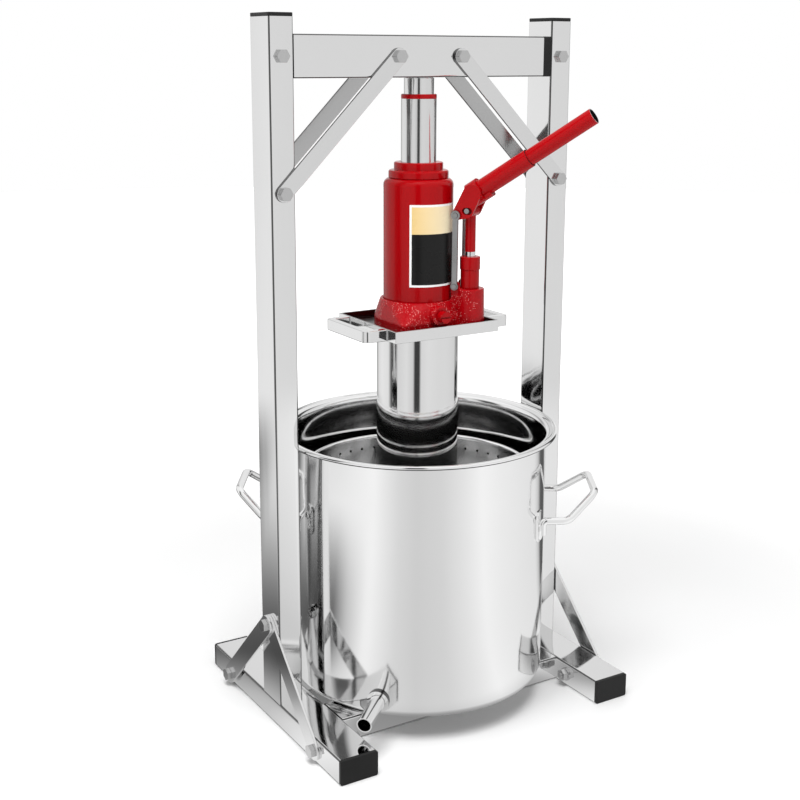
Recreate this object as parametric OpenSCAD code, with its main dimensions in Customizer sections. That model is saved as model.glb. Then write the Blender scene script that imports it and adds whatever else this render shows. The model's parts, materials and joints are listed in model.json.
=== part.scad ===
// Hydraulic fruit press: a bolted tube frame, a stock pot with a basket, and a press head under a bottle jack.
// Millimetres, +Z up. The origin is on the floor in the middle of the frame, and the front faces -Y.

/* [Frame tube] */
// Wide side of the post, foot and cross tubes
tube_w = 45; // [40:1:50]
// Narrow side of the post, foot and cross tubes
tube_t = 28; // [25:1:32]
// Wall of the tubes
tube_wall = 1.5; // [1:0.1:1.8]
// Outer corner radius of the tubes
tube_r = 2.5; // [2:0.1:4]

/* [Frame] */
// Height of the top beam
beam_h = 45; // [40:1:50]
// Drop from the tops of the posts to the top of the beam
beam_drop = 17; // [10:1:30]
// Length of a foot tube without its caps
foot_l = 318; // [310:1:350]
// Distance between the middles of the two cross tubes
cross_gap = 127; // [120:1:140]
// Thickness of the flange of a foot cap
foot_cap_t = 4; // [2:0.5:5]
// Thickness of the flange of a post cap
post_cap_t = 4; // [2:0.5:6]
// Thickness of the collar on the beam's right end
beam_cap_t = 11; // [6:0.5:14]
// Depth of a cap's plug inside its tube
cap_plug = 12; // [8:1:20]

/* [Braces and struts] */
// Width of a brace bar
brace_w = 18; // [16:1:22]
// Width of a strut bar
strut_w = 22; // [18:1:25]
// Thickness of the flat bars
bar_t = 3; // [2:0.5:4]
// Sideways distance of a brace's upper bolt from the middle of the beam
brace_x = 40; // [35:1:60]
// Drop from the middle of the beam to a brace's lower bolt
brace_drop = 140; // [120:1:160]
// Height of the struts' shared bolt above the top of the foot
strut_rise = 90; // [75:1:110]
// Distance of a strut's lower bolt from the end of the foot tube
strut_inset = 54; // [48:1:60]

/* [Bolts] */
// Diameter of the bolts
bolt_d = 8; // [6:1:9]
// Width across the flats of heads and nuts
bolt_af = 13; // [12:1:15]
// Height of a bolt head
head_h = 5.3; // [4:0.1:6]
// Height of a nut
nut_h = 6; // [4:0.5:6.5]
// Length of bolt that shows past its nut
bolt_end = 2; // [1:0.5:3]
// Outer diameter of a washer
washer_d = 16; // [15:1:18]
// Thickness of a washer
washer_t = 1.6; // [1:0.1:2]
// Radial room of a bolt in its hole
bolt_room = 0.25; // [0.1:0.05:0.4]

/* [Pot] */
// Outer radius of the pot's wall
pot_r = 150; // [140:1:160]
// Height of the pot
pot_h = 293; // [285:1:305]
// Sheet thickness of the pot and the basket
sheet_t = 1.2; // [1:0.1:1.6]
// Radius of the pot's lower corner
pot_corner = 9; // [6:1:14]
// Radius of the flare under the rim
flare_r = 10; // [7:0.5:12]
// Radius of the rolled bead on the rim
bead_r = 2.5; // [2:0.1:3]
// Room between the rim and a post
rim_room = 2.5; // [2:0.1:8]
// Compass angle of the right handle, from +X
handle_az = 328; // [315:1:335]
// Height of the handles' legs above the pot's bottom
handle_up = 198; // [180:1:215]
// Diameter of the handle wire
wire_d = 8.5; // [6:0.5:9]
// Compass angle of the spout, from +X
spout_az = 222; // [218:1:226]
// Height of the spout's root above the pot's bottom
spout_up = 19; // [18:0.5:22]
// Outer diameter of the spout
spout_d = 17; // [13:0.5:17]
// Length of the spout outside the pot
spout_l = 50; // [45:1:56]
// Droop of the spout in degrees
spout_droop = 4; // [0:1:6]

/* [Basket] */
// Gap between the basket and the pot's wall
basket_gap = 18; // [16:1:24]
// Drop from the pot's rim to the basket's rim
basket_drop = 49; // [40:1:56]
// Height of the basket's feet
basket_foot = 10; // [8:1:15]
// Diameter of a drain hole
drain_d = 3.6; // [3:0.2:5]
// Number of drain holes in a row
drain_count = 48; // [24:1:60]
// Number of rows of drain holes
drain_rows = 4; // [3:1:5]

/* [Press head] */
// Height of the press plate's underside above the pot's bottom
plate_up = 152; // [140:1:160]
// Thickness of the press plate
plate_t = 6; // [4:1:8]
// Gap between the press plate and the basket
plate_gap = 2; // [1:0.5:6]
// Outer radius of the plunger tube
plunger_r = 47; // [42:0.5:50]
// Wall of the plunger tube
plunger_wall = 2; // [1.5:0.5:3]
// Length of the plunger tube
plunger_l = 252; // [240:1:265]
// Height of the tray's rim over its underside
tray_h = 13; // [11:1:14]
// Sheet thickness of the tray
tray_t = 3; // [2:0.5:3.5]
// Room between the pump's tower and the tray's rim
tray_room = 1.6; // [1:0.1:6]
// Width of the tray beyond its depth, on each side
tray_side = 4; // [0:0.5:8]
// Reach of a tray handle beyond the tray
grip_reach = 28; // [26:1:34]
// Length of a tray handle
grip_l = 92; // [80:1:100]
// Width of a tray handle's bar, seen from above
grip_t = 9; // [3:0.5:10]

/* [Jack] */
// Radius of the round part of the base
base_r = 50; // [48:0.5:51]
// Height of the base up to the collar
base_h = 33; // [31:1:35]
// Outer radius of the oil reservoir
tank_r = 39.5; // [39:0.5:41]
// Wall of the oil reservoir
tank_wall = 2.5; // [2:0.5:3]
// Height of the straight wall above the collar
tank_h = 128; // [124:1:134]
// Radius of the ram
ram_r = 19.9; // [19:0.1:20.2]
// Length of ram that shows above the nut, with its ring
ram_out = 74.5; // [71:0.5:80]
// Radius of the extension screw
screw_r = 16.75; // [15.5:0.25:17]
// Length of screw that shows above the ram
screw_out = 17.7; // [17:0.1:24]
// Running clearance of the ram, screw, pump rod and pins, on the radius
running = 0.05; // [0.02:0.01:0.08]

/* [Pump] */
// Compass angle of the pump and its lever, from +X
pump_az = -45; // [-50:1:-40]
// Distance from the reservoir's wall to the pump's axis
pump_gap = 20.5; // [20:0.5:22]
// Radius of the pump's tower on the base
tower_r = 17; // [16:0.5:17.5]
// Height of the tower above the base's collar
tower_up = 13; // [12:1:16]
// Radius of the pump rod
rod_r = 6; // [5:0.25:6.5]
// Lever angle above the level in degrees
lever_angle = 33.5; // [30:0.5:36]
// Turn of the lever about the pump, away from the line through the jack, degrees
lever_turn = -10; // [-14:1:0]
// Length of the lever's socket tube
socket_l = 78; // [74:1:85]
// Radius of the lever's socket tube
socket_r = 10.5; // [10:0.25:10.75]
// Length of the handle that shows past the socket
handle_out = 84; // [80:1:105]
// Radius of the handle tube
handle_r = 9; // [8.5:0.25:9.25]
// Wall of the handle tube
handle_wall = 1.6; // [1.2:0.1:2]

/* [Hidden] */
$fn = 48;
overrun = 1;
cap_fit = 0.2;
thread_fit = 0.05;
skin = 0.05;
face_gap = 0.3;

// Frame layout
rim_r = pot_r + flare_r + bead_r;
post_gap = 2 * (rim_r + rim_room);
post_x = post_gap / 2 + tube_t / 2;
outer_x = post_gap / 2 + tube_t;
foot_x = outer_x - tube_w / 2;
foot_in = outer_x - tube_w;
cross_l = 2 * foot_in;
pot_z = tube_t;
bolt_r = bolt_d / 2;
hole_r = bolt_r + bolt_room;
hex_r = bolt_af / 2 / cos(30);
tenon_w = tube_w - 2 * tube_wall - 2 * washer_t;
tenon_h = beam_h - 2 * washer_d / 2;
tenon_t = tube_t - tube_wall - cap_fit;
tenon_root = 40;
strut_z = tube_t + strut_rise;
strut_y = foot_l / 2 - strut_inset;

// Pot and basket layout
flare_z = pot_h - flare_r - sheet_t;
wire_r = wire_d / 2;
leg_half = 57;
leg_out = 23;
grip_half = 35;
loop_rise = 27;
loop_out = 32;
pad_w = 21;
pad_h = 37;
pad_r = 8;
pad_t = 2;
pad_drop = 7;
pad_angle = asin(leg_half / pot_r);
leg_root = (pot_r + pad_t / 2) * cos(pad_angle);
spout_r = spout_d / 2;
spout_bore = spout_r - sheet_t;
spout_in = 10;
spout_step = 4;
spout_drop = 0.2;
flange_w = 4.2;
flange_r = spout_r + flange_w;
flange_t = 2.5;
spout_nut_t = 5;
spout_nut_gap = 0.25;
basket_r = pot_r - basket_gap;
basket_z = sheet_t + basket_foot;
basket_top = pot_h - basket_drop;
basket_bead = 2;
basket_corner = 8;
foot_pin_r = 5;
foot_pin_count = 4;
foot_pin_share = 0.8;
drain_top = 14;
drain_step = 36;

// Press head layout
plate_z = pot_z + plate_up;
plate_r = basket_r - sheet_t - basket_bead - plate_gap;
plate_lip = 2;
spigot_h = 8;
plunger_z = plate_z + plate_t;
tray_z = plunger_z + plunger_l;
jack_z = tray_z + tray_t;
pump_off = tank_r + pump_gap;
tower_reach = pump_off * max(abs(cos(pump_az)), abs(sin(pump_az))) + tower_r;
tray_half_y = tower_reach + tray_room + tray_t;
tray_half_x = tray_half_y + tray_side;
grip_r = 8;
grip_inner_r = 2;

// Jack layout, heights above the base's underside
base_edge_h = 12;
corner_r = 6;
corner_off = base_r - corner_r;
base_facets = 32;
collar_w = 3.5;
collar_r = tank_r + collar_w;
seat_depth = 4;
cylinder_floor = 16;
cylinder_r = 25.5;
piston_step = 2.6;
cylinder_bore = ram_r + piston_step;
shoulder_r = 8;
tank_z = base_h - seat_depth;
shoulder_z = base_h + tank_h;
nut_z = shoulder_z + shoulder_r;
flange_top = 8.6;
flange_inset = 5.7;
gland_flange_r = tank_r - flange_inset;
gland_top = 8.8;
gland_w = 7.7;
gland_r = ram_r + gland_w;
gland_spigot = 14;
gland_z = nut_z + flange_top + gland_top;
piston_h = 12;
ring_t = 5;
ram_top = gland_z + ram_out - ring_t;
ram_low = 3;
ram_bottom = cylinder_floor + ram_low + ram_out - ring_t;
seal_h = 4;
seal_t = 2.4;
screw_bore_l = 112;
screw_in = 92;
screw_top = ram_top + ring_t + screw_out;
beam_z = jack_z + screw_top + face_gap;
beam_mid = beam_z + beam_h / 2;
post_top = beam_z + beam_h + beam_drop;
brace_z = beam_mid - brace_drop;

// Pump layout, heights above the base's underside
tower_h = base_h + tower_up;
tower_draft = 0.7;
pump_floor = 10;
pump_seat_r = 9;
pump_lower_r = 10.6;
pump_lower_h = 21.5;
pump_upper_r = 11.5;
pump_upper_h = 14.5;
rod_floor = 11.5;
link_low_off = 8;
link_off = 8.5;
link_low_u = tank_r + link_low_off;
link_u = tank_r + link_off;
link_low_up = 3;
link_low_z = tower_h + link_low_up;
link_lift = 47;
pivot_z = tower_h + pump_lower_h + pump_upper_h + link_lift;
pin_up = 5;
pin_z = pivot_z + pin_up;
pin_r = 3;
pin_head = 0.8;
eye_r = 5.5;
head_r = 8;
head_half = 9;
cheek_in = socket_r + face_gap;
cheek_t = 3;
cheek_out = cheek_in + cheek_t;
strap_in = cheek_out + face_gap;
strap_t = 3;
strap_out = strap_in + strap_t;
strap_w = 6.5;
low_eye_r = 4.5;
ear_t = 4.2;
ear_in = strap_in - face_gap - ear_t;
ear_r = 5.5;
slot_room = 0.8;
slot_r = pin_r + slot_room;
slot_half = 2.1;
slot_shift = 0.75;
socket_off = 6;
socket_up = 19.5;
socket_u = pump_off + socket_off;
socket_z = pin_z + socket_up;
collar_back = 6;
collar_l = 14;
collar_out = socket_r + cheek_t + face_gap;
lip_l = 9;
socket_back = 4;
handle_in = 57;

// Release valve, label and filler plug, heights above the base's underside
valve_x = -4;
valve_z = 20;
boss_r = 11.5;
boss_l = 7;
boss_reach = base_r + boss_l;
valve_r = 5;
valve_in = 20;
knob_r = 6.5;
knob_l = 9;
knob_slot = 2;
label_az = -136;
label_turn = 92;
label_z = 50.5;
label_h = 91.5;
label_t = 0.3;
plug_az = 84;
plug_down = 18;
plug_z = base_h + tank_h - plug_down;
plug_r = 5;
plug_out = 2;

// Places of the bolts along Y: sideways place, height, thickness under the head
beam_bolt_places = [for (s = [-1, 1]) [s * post_x, beam_mid, 0]];
brace_bolt_places = [for (s = [-1, 1]) each [[s * brace_x, beam_mid, bar_t], [s * post_x, brace_z, bar_t]]];
// Places of the bolts along X: side, depth, height, thickness under the head, tube that is passed
strut_bolt_places = [for (s = [-1, 1]) [s, 0, strut_z, 2 * bar_t, tube_t]];
foot_bolt_places = [for (s = [-1, 1], e = [-1, 1])
    [s, e * strut_y, tube_t / 2, (e < 0 ? 1 : 2) * bar_t, tube_w]];

steel = "gainsboro";
dark = "dimgray";
black = "black";
red = "firebrick";

// Shared shapes

// Points along an arc
function arc(x, y, r, a0, a1, n = 8) =
    [for (i = [0:n]) let (a = a0 + (a1 - a0) * i / n) [x + r * cos(a), y + r * sin(a)]];

// Rectangle with round corners, centred
module rounded_rect(w, h, r) {
    square([w - 2 * r, h], center = true);
    square([w, h - 2 * r], center = true);
    for (x = [-1, 1], y = [-1, 1])
        translate([x * (w / 2 - r), y * (h / 2 - r)]) circle(r);
}

// Rectangular tube along +Z
module tube(w, h, l) {
    linear_extrude(l) difference() {
        rounded_rect(w, h, tube_r);
        rounded_rect(w - 2 * tube_wall, h - 2 * tube_wall, tube_r - tube_wall);
    }
}

// Push-in cap on a tube's end: the flange stands above z = 0 and the plug hangs below
module tube_cap(w, h, t) {
    linear_extrude(t) rounded_rect(w, h, tube_r);
    in = 2 * (tube_wall + cap_fit);
    translate([0, 0, -cap_plug])
        linear_extrude(cap_plug) rounded_rect(w - in, h - in, tube_r - tube_wall);
}

// Cylinder along X or Y between two places
module pin_x(r, x0, x1, y, z) translate([x0, y, z]) rotate([0, 90, 0]) cylinder(r = r, h = x1 - x0);
module pin_y(r, y0, y1, x, z) translate([x, y0, z]) rotate([-90, 0, 0]) cylinder(r = r, h = y1 - y0);

// Round wire between two points
module wire(p, q, r) {
    d = q - p;
    l = norm(d);
    translate(p) rotate([0, acos(d[2] / l), atan2(d[1], d[0])]) cylinder(r = r, h = l);
}

// Flat bar with round, drilled ends between two points of a plane
module flat_bar(p, q, w, hole) {
    d = q - p;
    translate(p) rotate(atan2(d[1], d[0])) difference() {
        union() {
            translate([0, -w / 2]) square([norm(d), w]);
            circle(w / 2);
            translate([norm(d), 0]) circle(w / 2);
        }
        circle(hole);
        translate([norm(d), 0]) circle(hole);
    }
}

// Raises a drawing of the XZ plane to a plate between two depths
module plate_xz(y0, y1) rotate([90, 0, 0]) translate([0, 0, -y1]) linear_extrude(y1 - y0) children();

// Raises a drawing of the YZ plane to a plate between two sideways places
module plate_yz(x0, x1) rotate([90, 0, 90]) translate([0, 0, x0]) linear_extrude(x1 - x0) children();

module ring(r_out, r_in, h) {
    difference() {
        cylinder(r = r_out, h = h);
        translate([0, 0, -overrun]) cylinder(r = r_in, h = h + 2 * overrun);
    }
}

// Hexagon bolt whose head sits below z = 0
module hex_bolt(l) {
    translate([0, 0, -head_h]) cylinder(r = hex_r, h = head_h, $fn = 6);
    cylinder(r = bolt_r, h = l);
}

module hex_nut() {
    difference() {
        cylinder(r = hex_r, h = nut_h, $fn = 6);
        translate([0, 0, -overrun]) cylinder(r = bolt_r + thread_fit, h = nut_h + 2 * overrun);
    }
}

// Puts a child on the front of the frame, pointing backwards
module front_seat(place)
    translate([place[0], -tube_w / 2 - place[2], place[1]]) rotate([-90, 0, 0]) children();

// Puts a child on the outer face of a post or foot, pointing inwards
module side_seat(place)
    mirror([place[0] < 0 ? 1 : 0, 0, 0])
        translate([outer_x + place[3], place[1], place[2]]) rotate([0, -90, 0]) children();

module front_bolt(place) front_seat(place)
    hex_bolt(tube_w + 2 * place[2] + washer_t + nut_h + bolt_end);

module side_bolt(place) side_seat(place)
    hex_bolt(place[4] + place[3] + washer_t + nut_h + bolt_end);

// Puts a child behind the rear stack of a front bolt
module rear_of(place) front_seat(place) translate([0, 0, tube_w + 2 * place[2]]) children();

// Puts a child on the inner face that a side bolt comes out of
module inside_of(place) side_seat(place) translate([0, 0, place[4] + place[3]]) children();

// Frame

module post(s) {
    color(steel) difference() {
        translate([s * post_x, 0, tube_t]) tube(tube_t, tube_w, post_top - tube_t);
        for (z = [beam_mid, brace_z])
            pin_y(hole_r, -tube_w, tube_w, s * post_x, z);
        pin_x(hole_r, s * post_x - tube_t, s * post_x + tube_t, 0, strut_z);
        translate([s * post_gap / 2, 0, beam_mid])
            cube([2 * tube_wall + overrun, tenon_w + 2 * cap_fit, tenon_h + 2 * cap_fit], center = true);
    }
}

module left_post() post(-1);
module right_post() post(1);

module post_top_caps() {
    color(black) for (s = [-1, 1])
        translate([s * post_x, 0, post_top]) tube_cap(tube_t, tube_w, post_cap_t);
}

module top_beam() {
    l = post_gap - beam_cap_t;
    color(steel) difference() {
        translate([-post_gap / 2, 0, beam_mid]) rotate([0, 90, 0]) tube(beam_h, tube_w, l);
        for (s = [-1, 1])
            pin_y(hole_r, -tube_w, tube_w, s * brace_x, beam_mid);
    }
}

module beam_end_collar() {
    in = 2 * (tube_wall + cap_fit);
    color(black) difference() {
        translate([post_gap / 2, 0, beam_mid]) rotate([0, -90, 0]) union() {
            linear_extrude(beam_cap_t) rounded_rect(beam_h, tube_w, tube_r);
            linear_extrude(beam_cap_t + cap_plug)
                rounded_rect(beam_h - in, tube_w - in, tube_r - tube_wall);
        }
        translate([post_gap / 2, 0, beam_mid])
            cube([4 * (beam_cap_t + cap_plug), tenon_w + 2 * cap_fit, tenon_h + 2 * cap_fit], center = true);
    }
}

// Bars welded in the beam's ends, which pass into the posts and take the through bolts
module beam_tenons() {
    color(dark) for (s = [-1, 1]) difference() {
        translate([s * (post_gap / 2 + (tenon_t - tenon_root) / 2), 0, beam_mid])
            cube([tenon_t + tenon_root, tenon_w, tenon_h], center = true);
        pin_y(hole_r, -tube_w, tube_w, s * post_x, beam_mid);
    }
}

module foot(s) {
    color(steel) difference() {
        translate([s * foot_x, -foot_l / 2, tube_t / 2]) rotate([-90, 0, 0]) tube(tube_w, tube_t, foot_l);
        for (e = [-1, 1])
            pin_x(hole_r, s * foot_x - tube_w, s * foot_x + tube_w, e * strut_y, tube_t / 2);
    }
}

module left_foot() foot(-1);
module right_foot() foot(1);

module foot_end_caps() {
    color(black) for (s = [-1, 1], e = [0, 1])
        translate([s * foot_x, 0, tube_t / 2]) mirror([0, e, 0])
            translate([0, -foot_l / 2, 0]) rotate([90, 0, 0]) tube_cap(tube_w, tube_t, foot_cap_t);
}

module cross_tube(s) {
    color(steel) translate([-cross_l / 2, s * cross_gap / 2, tube_t / 2])
        rotate([0, 90, 0]) tube(tube_t, tube_w, cross_l);
}

module front_cross_tube() cross_tube(-1);
module rear_cross_tube() cross_tube(1);

module brace(s, e) {
    y = e < 0 ? -tube_w / 2 - bar_t : tube_w / 2;
    color(steel) plate_xz(y, y + bar_t)
        flat_bar([s * brace_x, beam_mid], [s * post_x, brace_z], brace_w, hole_r);
}

module front_left_brace() brace(-1, -1);
module front_right_brace() brace(1, -1);
module rear_left_brace() brace(-1, 1);
module rear_right_brace() brace(1, 1);

// The front strut lies on the tubes and the rear strut on the front one
module strut(s, e) {
    x = outer_x + (e < 0 ? 0 : bar_t);
    color(steel) mirror([s < 0 ? 1 : 0, 0, 0]) plate_yz(x, x + bar_t)
        flat_bar([0, strut_z], [e * strut_y, tube_t / 2], strut_w, hole_r);
}

module left_front_strut() strut(-1, -1);
module left_rear_strut() strut(-1, 1);
module right_front_strut() strut(1, -1);
module right_rear_strut() strut(1, 1);

module strut_spacers() {
    color(steel) for (place = foot_bolt_places)
        if (place[1] > 0)
            side_seat(place) translate([0, 0, bar_t]) ring(washer_d / 2, hole_r, bar_t);
}

module beam_bolts() color(steel) for (place = beam_bolt_places) front_bolt(place);
module brace_bolts() color(steel) for (place = brace_bolt_places) front_bolt(place);
module strut_bolts() color(steel) for (place = strut_bolt_places) side_bolt(place);
module foot_bolts() color(steel) for (place = foot_bolt_places) side_bolt(place);

module bolt_washers() {
    color(steel) {
        for (place = concat(beam_bolt_places, brace_bolt_places))
            rear_of(place) ring(washer_d / 2, hole_r, washer_t);
        for (place = concat(strut_bolt_places, foot_bolt_places))
            inside_of(place) ring(washer_d / 2, hole_r, washer_t);
    }
}

module bolt_nuts() {
    color(steel) {
        for (place = concat(beam_bolt_places, brace_bolt_places))
            rear_of(place) translate([0, 0, washer_t]) hex_nut();
        for (place = concat(strut_bolt_places, foot_bolt_places))
            inside_of(place) translate([0, 0, washer_t]) hex_nut();
    }
}

// Pot and basket

// Puts a child on the spout's axis, with z = 0 on the pot's outer wall, pointing out and down
module on_spout()
    translate([0, 0, pot_z + spout_up]) rotate([0, 0, spout_az])
        translate([pot_r, 0, 0]) rotate([0, 90 + spout_droop, 0]) children();

module juice_pot() {
    outer = concat(arc(pot_r - pot_corner, pot_corner, pot_corner, -90, 0),
        arc(pot_r + flare_r, flare_z, flare_r, 180, 90));
    inner = concat(arc(pot_r + flare_r, flare_z, flare_r + sheet_t, 90, 180),
        arc(pot_r - pot_corner, pot_corner, pot_corner - sheet_t, 0, -90));
    color(steel) difference() {
        translate([0, 0, pot_z]) union() {
            rotate_extrude($fn = 96) polygon(concat([[0, 0]], outer, inner, [[0, sheet_t]]));
            rotate_extrude($fn = 96)
                translate([pot_r + flare_r, pot_h - sheet_t / 2]) circle(bead_r);
        }
        on_spout() translate([0, 0, -pot_corner]) cylinder(r = spout_r + skin, h = 2 * pot_corner);
    }
}

// Bent wire loop on two tongue-shaped pads, drawn along +X
module wire_handle() {
    for (t = [-1, 1]) {
        points = [[leg_root, t * leg_half, 0], [pot_r + leg_out, t * leg_half, 0],
            [pot_r + leg_out + loop_out, t * grip_half, loop_rise]];
        for (i = [0, 1]) {
            wire(points[i], points[i + 1], wire_r);
            translate(points[i + 1]) sphere(wire_r + skin);
        }
        rotate([0, 0, t * pad_angle]) intersection() {
            translate([0, 0, -pad_h]) difference() {
                cylinder(r = pot_r + skin + pad_t, h = 2 * pad_h, $fn = 180);
                translate([0, 0, -overrun]) cylinder(r = pot_r + skin, h = 3 * pad_h, $fn = 180);
            }
            translate([0, 0, -pad_drop]) rotate([90, 0, 90])
                linear_extrude(pot_r + pad_w) rounded_rect(pad_w, pad_h, pad_r);
        }
    }
    x = pot_r + leg_out + loop_out;
    wire([x, -grip_half, loop_rise], [x, grip_half, loop_rise], wire_r);
}

module pot_handle(az) color(steel) translate([0, 0, pot_z + handle_up]) rotate([0, 0, az]) wire_handle();
module right_pot_handle() pot_handle(handle_az);
module left_pot_handle() pot_handle(handle_az + 180);

// Plain tube for a hose on a slightly thinner, threaded root
module spout() color(steel) on_spout() difference() {
    union() {
        translate([0, 0, spout_step]) cylinder(r = spout_r, h = spout_l - spout_step);
        translate([0, 0, -spout_in]) cylinder(r = spout_r - spout_drop, h = spout_in + spout_step);
    }
    translate([0, 0, -spout_in - overrun])
        cylinder(r = spout_bore, h = spout_in + spout_l + 2 * overrun);
}

// Flange and nut are cut to the round of the pot's wall
module spout_flange() color(steel) difference() {
    on_spout() translate([0, 0, -flange_t]) ring(flange_r, spout_r + skin, 2 * flange_t);
    translate([0, 0, pot_z - pot_r]) cylinder(r = pot_r + skin, h = 2 * pot_r, $fn = 360);
}

module spout_nut() color(steel) intersection() {
    on_spout() translate([0, 0, -sheet_t - spout_nut_t]) difference() {
        cylinder(r = flange_r, h = spout_nut_t + sheet_t, $fn = 6);
        translate([0, 0, -overrun]) cylinder(r = spout_r + skin, h = spout_nut_t + sheet_t + 2 * overrun);
    }
    translate([0, 0, pot_z + sheet_t + spout_nut_gap])
        cylinder(r = pot_r - sheet_t - spout_nut_gap, h = pot_h, $fn = 360);
}

module basket() {
    outer = arc(basket_r - basket_corner, basket_z + basket_corner, basket_corner, -90, 0, 5);
    inner = arc(basket_r - basket_corner, basket_z + basket_corner, basket_corner - sheet_t, 0, -90, 5);
    wall = [[basket_r, basket_top], [basket_r - sheet_t, basket_top]];
    color(steel) translate([0, 0, pot_z]) difference() {
        union() {
            rotate_extrude($fn = 96)
                polygon(concat([[0, basket_z]], outer, wall, inner, [[0, basket_z + sheet_t]]));
            rotate_extrude($fn = 96)
                translate([basket_r - sheet_t / 2, basket_top]) circle(basket_bead);
            for (i = [0:foot_pin_count - 1]) rotate([0, 0, (i + 1 / 2) * 360 / foot_pin_count])
                translate([foot_pin_share * basket_r, 0, sheet_t])
                    cylinder(r = foot_pin_r, h = basket_foot + sheet_t / 2);
        }
        for (k = [0:drain_rows - 1], i = [0:drain_count - 1])
            rotate([0, 0, (i + (k % 2) / 2) * 360 / drain_count])
                translate([basket_r - 2 * sheet_t, 0, basket_top - drain_top - k * drain_step])
                    rotate([0, 90, 0]) cylinder(r = drain_d / 2, h = 4 * sheet_t);
    }
}

// Press head

module press_plate() {
    color(steel) {
        translate([0, 0, plate_z]) rotate_extrude($fn = 96) polygon(concat(
            [[0, 0]], arc(plate_r - plate_lip, plate_lip, plate_lip, -90, 0, 4),
            [[plate_r, plate_t], [0, plate_t]]));
        translate([0, 0, plunger_z]) cylinder(r = plunger_r - plunger_wall - face_gap, h = spigot_h);
    }
}

module plunger() color(steel) translate([0, 0, plunger_z])
    ring(plunger_r, plunger_r - plunger_wall, plunger_l);

module jack_tray() {
    color(steel) translate([0, 0, tray_z]) difference() {
        linear_extrude(tray_h) square([2 * tray_half_x, 2 * tray_half_y], center = true);
        translate([0, 0, tray_t]) linear_extrude(tray_h)
            square([2 * (tray_half_x - tray_t), 2 * (tray_half_y - tray_t)], center = true);
    }
}

// Bent flat bar on the side of the tray
module tray_handle(s) {
    color(steel) translate([0, 0, tray_z]) mirror([s < 0 ? 1 : 0, 0, 0]) linear_extrude(tray_h)
        translate([tray_half_x, 0]) difference() {
            rounded_rect(2 * grip_reach, grip_l, grip_r);
            rounded_rect(2 * (grip_reach - grip_t), grip_l - 2 * grip_t, grip_inner_r);
            translate([-2 * grip_reach, -grip_l]) square([2 * grip_reach, 2 * grip_l]);
        }
}

module left_tray_handle() tray_handle(-1);
module right_tray_handle() tray_handle(1);

// Jack body

// Puts a child in the pump's own plane: x away from the ram, y across the lever
module at_pump() translate([0, 0, jack_z]) rotate([0, 0, pump_az]) children();

// Puts a child in the plane of the lever, which is turned about the pump
module at_link() at_pump() translate([pump_off, 0, 0]) rotate([0, 0, lever_turn])
    translate([-pump_off, 0, 0]) children();

module at_jack() translate([0, 0, jack_z]) children();

// Ears for the lower pin of the link straps
module link_ears() {
    difference() {
        for (e = [0, 1]) mirror([0, e, 0]) plate_xz(ear_in, ear_in + ear_t) union() {
            translate([link_low_u, link_low_z]) circle(ear_r);
            translate([link_low_u - ear_r, tower_h / 2]) square([2 * ear_r, link_low_z - tower_h / 2]);
        }
        pin_y(pin_r + running, -strap_out, strap_out, link_low_u, link_low_z);
    }
}

module jack_base() {
    color(red) {
        at_jack() difference() {
            union() {
                hull($fn = base_facets) {
                    cylinder(r = base_r, h = base_edge_h);
                    translate([-corner_off, -corner_off, 0]) cylinder(r = corner_r, h = base_edge_h);
                    cylinder(r = collar_r, h = base_h);
                }
                rotate([0, 0, pump_az]) translate([pump_off, 0, 0])
                    cylinder(r1 = tower_r, r2 = tower_r - tower_draft, h = tower_h);
                rotate([0, 0, pump_az]) translate([0, -tower_r / 2, 0])
                    cube([pump_off, tower_r, base_h - seat_depth]);
                pin_y(boss_r, -boss_reach, 0, valve_x, valve_z);
            }
            translate([0, 0, tank_z]) cylinder(r = tank_r + skin, h = base_h + tank_h);
            translate([0, 0, cylinder_floor]) cylinder(r = cylinder_r + skin, h = base_h);
            rotate([0, 0, pump_az]) translate([pump_off, 0, pump_floor])
                cylinder(r = rod_r + 2 * running, h = tower_h);
            rotate([0, 0, pump_az]) translate([pump_off, 0, tower_h - seat_depth])
                cylinder(r = pump_seat_r + skin, h = tower_h);
            pin_y(valve_r + running, -boss_reach - overrun, -boss_reach + valve_in, valve_x, valve_z);
        }
        difference() {
            at_link() link_ears();
            at_jack() translate([0, 0, tank_z]) cylinder(r = tank_r + skin, h = tank_h);
            at_pump() translate([pump_off, 0, tower_h]) cylinder(r = pump_upper_r + face_gap, h = tower_h);
        }
    }
}

module oil_reservoir() {
    r_in = tank_r - tank_wall;
    color(red) at_jack() difference() {
        rotate_extrude($fn = 96) polygon(concat(
            [[r_in, tank_z], [tank_r, tank_z]],
            arc(tank_r - shoulder_r, shoulder_z, shoulder_r, 0, 90),
            [[cylinder_r + skin, nut_z], [cylinder_r + skin, nut_z - tank_wall]],
            arc(tank_r - shoulder_r, shoulder_z, shoulder_r - tank_wall, 90, 0)));
        rotate([0, 0, plug_az]) pin_x(plug_r, 0, 2 * tank_r, 0, plug_z);
    }
}

module pressure_cylinder() color(dark) at_jack() translate([0, 0, cylinder_floor])
    ring(cylinder_r, cylinder_bore, nut_z - cylinder_floor);

// Flanged nut that closes the cylinder and guides the ram
module gland_nut() {
    color(red) at_jack() difference() {
        union() {
            translate([0, 0, nut_z]) cylinder(r = gland_flange_r, h = flange_top);
            translate([0, 0, nut_z]) cylinder(r = gland_r, h = flange_top + gland_top);
            translate([0, 0, nut_z - gland_spigot]) cylinder(r = cylinder_bore - skin, h = gland_spigot);
        }
        translate([0, 0, nut_z - gland_spigot - overrun])
            cylinder(r = ram_r + running, h = gland_spigot + flange_top + gland_top + 2 * overrun);
    }
}

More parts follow.
